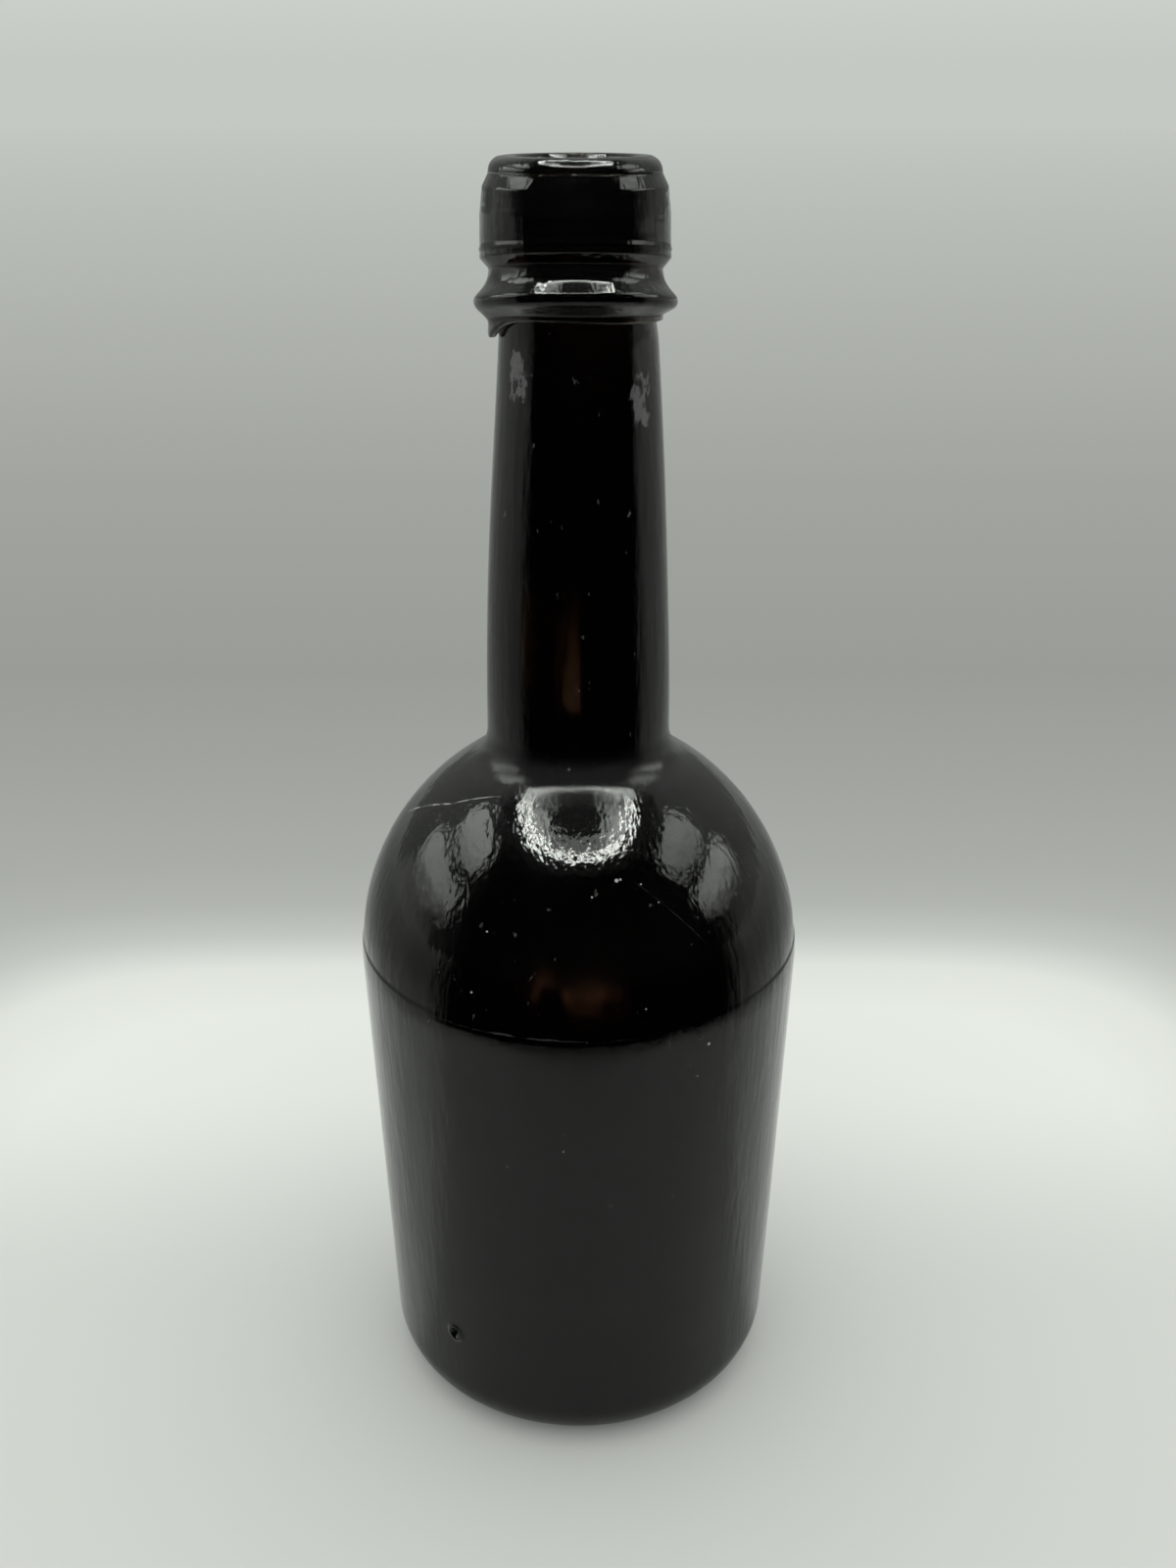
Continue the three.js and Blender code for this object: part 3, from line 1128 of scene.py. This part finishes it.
@dataclass(frozen=True)
class RingLight:
    """A round lamp overhead as the glass mirrors it: a bright rim, wide bright sides and a dark middle.

    Lengths are on a ceiling one unit above the bottle, with y towards the back of the room.
    """

    centre: tuple[float, float] = (0, -0.075)
    outer_radius: float = 0.52
    outer_edge: tuple[float, float] = (0.92, 1.05)
    rim_width: float = 0.11
    rim_glow: float = 18.0
    side_start: float = 0.20
    side_rise: float = 0.12
    side_glow: float = 5.6
    inner_glow: float = 2.1
    back_fade: tuple[float, float] = (-0.15, 0.15)
    back_glow: float = 0.25
    middle: tuple[float, float] = (0, -0.15)
    middle_radius: float = 0.215
    middle_edge: tuple[float, float] = (0.9, 1.1)
    middle_glow: float = 0.02
    lowest: float = 0.05

    def light(self, wiring: Wiring, direction: Socket) -> Socket:
        """The lamp's glow.

        Args:
            wiring: the world's nodes.
            direction: the direction as a unit vector.

        Returns:
            The socket that gives the glow in that direction.
        """
        height = wiring.add("SeparateXYZ", {0: direction}).outputs["Z"]
        stretch = wiring.math("DIVIDE", 1.0, wiring.math("MAXIMUM", height, self.lowest))
        lift = wiring.add("VectorMath", {0: direction, "Scale": stretch}, operation="SCALE")
        place = wiring.vector("MULTIPLY", lift.outputs[0], (1, 1, 0))
        radius = wiring.vector("DISTANCE", place, (*self.centre, 0))
        aside = wiring.math("ABSOLUTE", wiring.add("SeparateXYZ", {0: place}).outputs["X"])
        rim_start = self.outer_radius - self.rim_width
        side_end = self.side_start + self.side_rise
        inner = wiring.rise(aside, self.side_start, side_end, self.inner_glow, self.side_glow)
        depth = wiring.add("SeparateXYZ", {0: place}).outputs["Y"]
        inner = wiring.math("MULTIPLY", inner, wiring.rise(depth, *self.back_fade, 1, self.back_glow))
        from_middle = wiring.vector("DISTANCE", place, (*self.middle, 0))
        edge = (self.middle_radius * share for share in self.middle_edge)
        open_middle = wiring.rise(from_middle, *edge, self.middle_glow, 1)
        inner = wiring.math("MULTIPLY", inner, open_middle)
        rim = wiring.rise(radius, rim_start, rim_start + self.rim_width / 2, 0, self.rim_glow)
        edge = (self.outer_radius * share for share in self.outer_edge)
        within = wiring.rise(radius, *edge, 1, 0)
        return wiring.math("MULTIPLY", wiring.math("ADD", inner, rim), within)


@dataclass
class Studio:
    """A pale floor with a painted pool of light round the bottle, soft light from all round, the room and lamps that
    the glass mirrors, and the camera.

    Azimuths and elevations are in degrees. The tones are a pool of light painted on the floor: its brightness by
    distance from the bottle.
    As the glass mirrors it, the floor is painted darker by two levels, at the sides and in front, and the painted
    dark front has its middle and half its width.
    """

    floor_radius: float = 12.0
    floor_sides: int = 96
    floor_drop: float = 0.02 * MM
    paper: tuple[float, float, float] = (0.955, 1.0, 0.935)
    camera_place: tuple[float, float, float] = (0, -0.27383, 0.24968)
    camera_pitch: float = math.radians(23.90)
    camera_turn: float = math.radians(0.384)
    lens: float = 36.0
    sensor: float = 36.0
    camera_reach: tuple[float, float] = (0.01, 60.0)
    bright_width: float = 1.18
    front_painted_shade: float = 0.83
    tones: tuple[tuple[float, float], ...] = (
        (0.085, 0.87),
        (0.125, 0.87),
        (0.150, 0.80),
        (0.170, 0.58),
        (0.19, 0.475),
        (0.22, 0.425),
        (0.30, 0.375),
        (0.42, 0.335),
        (0.80, 0.375),
        (1.20, 0.42),
        (2.1, 0.475),
        (4.4, 0.53),
        (11.0, 0.575),
    )
    sky: tuple[float, float] = (0.58, 0.65)
    sky_height: tuple[float, float] = (0, 0.08)
    fill: float = 1.0
    front_depth: tuple[float, float] = (0.0, 0.09)
    dark_front: tuple[float, float] = (6.0, 76.0)
    dark_softness: float = 9.0
    # Where the painted shade on the mirrored floor begins, by distance from the bottle.
    painted_shade_start: tuple[float, float] = (0.185, 0.26)
    dark_top: tuple[float, float] = (50.0, 57.0)
    # The dark front of the room, and also the colour of the painted shade on the mirrored floor in front.
    dark_glow: float = 0.008
    ceiling_glow: float = 0.12
    mirrored_floor_shade_levels: tuple[float, float] = (0.92, 0.64)
    front_glow: float = 0.09
    side_start: tuple[float, float] = (72.0, 112.0)
    side_rise: tuple[float, float] = (-5.0, 40.0)
    side_glow: tuple[float, float] = (0.25, 0.5)

    def build(self) -> None:
        """Sets up the floor, the light and the camera."""
        self.floor()
        self.world()
        self.camera()

    def lamps(self) -> list[SoftBox]:
        """Three soft lamps on each side, one above the other, the lowest very dim.

        Returns:
            The lamps.
        """
        return [
            SoftBox(-94, 39.5, (20, 8.5), 3.2, 2.0),
            SoftBox(-97, 17, (22, 9.5), 2.0, 0.45),
            SoftBox(88, 40.5, (20, 9.5), 2.4, 1.5),
            SoftBox(92, 18, (19, 8.5), 2.4, 0.4),
            SoftBox(-104, -4, (20, 13), 0.25, 0.25),
            SoftBox(108, -4, (18, 13), 0.08, 0.08),
        ]

    def darkness(self, wiring: Wiring, azimuth: Socket) -> Socket:
        """How fully a direction lies in the dark front of the room, from 0 to 1.

        Args:
            wiring: the world's or the floor's nodes.
            azimuth: the direction's azimuth in degrees.

        Returns:
            The socket that gives the share.
        """
        middle, half = self.dark_front
        away = wiring.math("ABSOLUTE", wiring.math("SUBTRACT", azimuth, middle))
        return wiring.rise(away, half - self.dark_softness, half + self.dark_softness, 1, 0)

    def floor(self) -> None:
        """A round floor with a painted pool of light: brightest round the bottle and darker further off, with
        painted shade before it and darker painted shade in front where the glass mirrors it.
        """
        made = bmesh.new()
        bmesh.ops.create_circle(made, cap_ends=True, segments=self.floor_sides, radius=self.floor_radius)
        bmesh.ops.translate(made, vec=(0, 0, -self.floor_drop), verts=made.verts[:])
        floor = finished("floor", made)
        paper = bpy.data.materials.new("pale_paper")
        paper.use_nodes = True
        wiring = Wiring(paper.node_tree)
        place = wiring.add("TexCoord").outputs["Object"]
        # Painted pool of light round the bottle, times painted shade before it.
        tone = wiring.vector("MULTIPLY", self.painted_light_pool(wiring, place), self.front(wiring, place))
        # Painted shade: as the glass mirrors it, the floor is painted darker, and nearly black in front; the camera
        # sees it without this shade.
        azimuth, radius = wiring.azimuth(place), wiring.vector("LENGTH", place)
        before = self.darkness(wiring, azimuth)
        dark = wiring.math("MULTIPLY", before, wiring.rise(radius, *self.painted_shade_start))
        level = wiring.blend(before, *self.mirrored_floor_shade_levels)
        level = wiring.add("CombineXYZ", {0: level, 1: level, 2: level}).outputs[0]
        mirrored = wiring.vector("MULTIPLY", tone, level)
        mirrored = wiring.blend_colour(dark, mirrored, (*3 * [self.dark_glow], 1))
        seen = wiring.add("LightPath").outputs["Is Camera Ray"]
        surface = wiring.add("BsdfDiffuse", {"Color": wiring.blend_colour(seen, mirrored, tone)})
        wiring.add("OutputMaterial", {"Surface": surface.outputs[0]})
        floor.data.materials.append(paper)

    def front(self, wiring: Wiring, place: Socket) -> Socket:
        """Painted shade on the floor by its depth: a little dimmer before the bottle than behind it.

        Args:
            wiring: the floor's nodes.
            place: the position on the floor.

        Returns:
            The socket that gives the same level for all three colours.
        """
        depth = wiring.add("SeparateXYZ", {0: place}).outputs["Y"]
        # Painted shade: the floor before the bottle is dimmed.
        level = wiring.rise(depth, *self.front_depth, self.front_painted_shade, 1)
        return wiring.add("CombineXYZ", {0: level, 1: level, 2: level}).outputs[0]

    def painted_light_pool(self, wiring: Wiring, place: Socket) -> Socket:
        """A pool of light painted on the paper: its colour by its distance from the bottle.

        Args:
            wiring: the floor's nodes.
            place: the position on the floor.

        Returns:
            The socket that gives the colour.
        """
        place = wiring.vector("MULTIPLY", place, (1 / self.bright_width, 1, 0))
        square = wiring.vector("MULTIPLY", place, place)
        sixth = wiring.vector("DOT_PRODUCT", wiring.vector("MULTIPLY", square, square), square)
        distance = wiring.math("POWER", sixth, 1 / 6)
        # Painted light: the ramp makes the floor brightest near the bottle.
        nearest, farthest = (self.tones[end][0] for end in (0, -1))
        ratio = wiring.math("DIVIDE", wiring.math("MAXIMUM", distance, nearest), nearest)
        ramp = wiring.add("ValToRGB", {0: wiring.math("LOGARITHM", ratio, farthest / nearest)})
        stops = ramp.color_ramp.elements
        for number, (reach, tone) in enumerate(self.tones):
            position = math.log(reach / nearest, farthest / nearest)
            stop = stops[number] if number < 2 else stops.new(position)
            stop.position = position
            stop.color = (*(tone * part for part in self.paper), 1)
        return ramp.outputs[0]

    def world(self) -> None:
        """Even light from all round. What is seen is a soft grey, and what is mirrored is the room and its lamps."""
        world = bpy.data.worlds.new("soft_studio")
        bpy.context.scene.world = world
        world.use_nodes = True
        wiring = Wiring(world.node_tree)
        direction = wiring.add("TexCoord").outputs["Generated"]
        height = wiring.add("SeparateXYZ", {0: direction}).outputs["Z"]
        seen = wiring.rise(height, *self.sky_height, *self.sky)
        path = wiring.add("LightPath")
        through = wiring.math("MAXIMUM", path.outputs["Is Glossy Ray"], path.outputs["Is Transmission Ray"])
        strength = wiring.blend(through, self.fill, self.mirrored_room(wiring, direction))
        strength = wiring.blend(path.outputs["Is Camera Ray"], strength, seen)
        direct = wiring.math("MAXIMUM", through, path.outputs["Is Camera Ray"])
        colour = wiring.blend_colour(direct, (1, 1, 1, 1), (*self.paper, 1))
        light = wiring.add("Background", {"Color": colour, "Strength": strength})
        wiring.add("OutputWorld", {"Surface": light.outputs[0]})

    def mirrored_room(self, wiring: Wiring, direction: Socket) -> Socket:
        """The room that the glass mirrors: dark in front, grey at the sides and above, with its lamps.

        Args:
            wiring: the world's nodes.
            direction: the direction as a unit vector.

        Returns:
            The socket that gives the glow in that direction.
        """
        azimuth = wiring.azimuth(direction)
        height = wiring.add("SeparateXYZ", {0: direction}).outputs["Z"]
        elevation = wiring.math("MULTIPLY", wiring.math("ARCSINE", height), math.degrees(1))
        aside = wiring.rise(wiring.math("ABSOLUTE", azimuth), *self.side_start)
        room = wiring.blend(aside, self.front_glow, wiring.rise(elevation, *self.side_rise, *self.side_glow))
        room = wiring.blend(self.darkness(wiring, azimuth), room, self.dark_glow)
        room = wiring.blend(wiring.rise(elevation, *self.dark_top), room, self.ceiling_glow)
        for lamp in self.lamps():
            room = wiring.math("ADD", room, lamp.light(wiring, azimuth, elevation))
        return wiring.math("ADD", room, RingLight().light(wiring, direction))

    def camera(self) -> None:
        """The camera before the bottle and a little above its lip, looking down on it."""
        data = bpy.data.cameras.new("camera")
        data.lens = self.lens
        data.sensor_width = self.sensor
        data.clip_start, data.clip_end = self.camera_reach
        camera = bpy.data.objects.new("camera", data)
        bpy.context.scene.collection.objects.link(camera)
        camera.location = self.camera_place
        camera.rotation_euler = (math.pi / 2 - self.camera_pitch, 0, -self.camera_turn)
        bpy.context.scene.camera = camera


def main() -> None:
    """Builds the studio and the bottle's two pieces."""
    logging.basicConfig(level=logging.INFO, format="%(message)s")
    bpy.context.scene.view_settings.view_transform = "Standard"
    Studio().build()
    bottle_glass = DarkGlass("bottle_glass_finish", dull_band=(133.5 * MM, 142 * MM), marks=WEAR_AND_PAINTED_HIGHLIGHTS)
    lip_glass = DarkGlass(
        "lip_glass_finish",
        roughness=0.07,
        haze=0.12,
        streak_depth=0.1 * MM,
        pit_depth=0.07 * MM,
        swell_depth=0.1 * MM,
    )
    bottle = BlownBottle(bottle_glass)
    lip = AppliedFinish(lip_glass, bottle)
    for part in (bottle, lip):
        piece = part.build()
        LOG.info("%s: %d faces", piece.name, len(piece.data.polygons))


if __name__ == "__main__":
    main()
